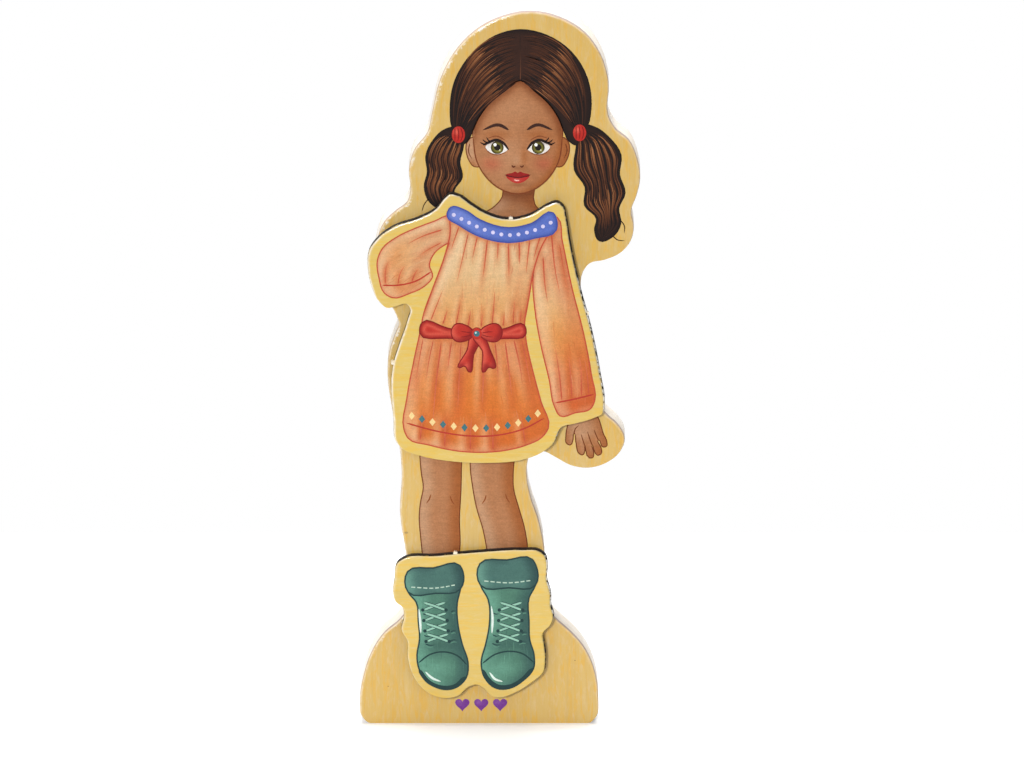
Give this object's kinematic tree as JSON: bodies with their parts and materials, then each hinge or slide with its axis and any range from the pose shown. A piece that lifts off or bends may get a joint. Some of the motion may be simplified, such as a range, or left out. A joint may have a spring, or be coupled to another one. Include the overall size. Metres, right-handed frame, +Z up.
{
  "type": "magnetic dress-up doll",
  "caption": "Free-standing printed wooden doll board with a steel layer behind its front, and a dress and boots that lift off on magnet sheets.",
  "frame": {"origin": "centre of the flat foot that the doll stands on, on the floor plane, midway through the board's thickness", "axes": "+Z up, the printed front faces -Y, +X to the viewer's right"},
  "size_m": [0.089, 0.0224, 0.23],
  "materials": {
    "core_wood": "pale sanded wood, clear varnish",
    "steel": "thin dull sheet",
    "veneer_wood": "straight-grained veneer, glossy varnish",
    "garment_wood": "straight-grained thin wood, glossy varnish",
    "magnet_sheet": "dull black flexible magnet",
    "skin_ink": "printed ink under varnish",
    "hair_ink": "printed ink under varnish",
    "underclothes_ink": "printed ink under varnish",
    "face_ink": "printed ink under varnish",
    "tie_ink": "printed ink under varnish",
    "foot_ink": "printed ink under varnish",
    "dress_ink": "printed ink under varnish",
    "collar_ink": "printed ink under varnish",
    "sash_ink": "printed ink under varnish",
    "boots_ink": "printed ink under varnish",
    "boots_trim_ink": "printed ink under varnish"
  },
  "bodies": {
    "doll": {"core_board": "core_wood", "steel_sheet": "steel", "front_veneer": "veneer_wood", "skin_print": "skin_ink", "hair_print": "hair_ink", "underclothes_print": "underclothes_ink", "face_print": "face_ink", "hair_tie_print": "tie_ink", "foot_print": "foot_ink"},
    "dress": {"dress_magnet": "magnet_sheet", "dress_face": "garment_wood", "dress_print": "dress_ink", "collar_print": "collar_ink", "sash_print": "sash_ink"},
    "boots": {"boots_magnet": "magnet_sheet", "boots_face": "garment_wood", "boots_print": "boots_ink", "boots_trim_print": "boots_trim_ink"}
  },
  "joints": [
    {"name": "dress_pull", "type": "slide", "parent": "doll", "child": "dress", "axis": [0, -1, 0], "range_m": [0, 0.06]},
    {"name": "boots_pull", "type": "slide", "parent": "doll", "child": "boots", "axis": [0, -1, 0], "range_m": [0, 0.06]}
  ]
}
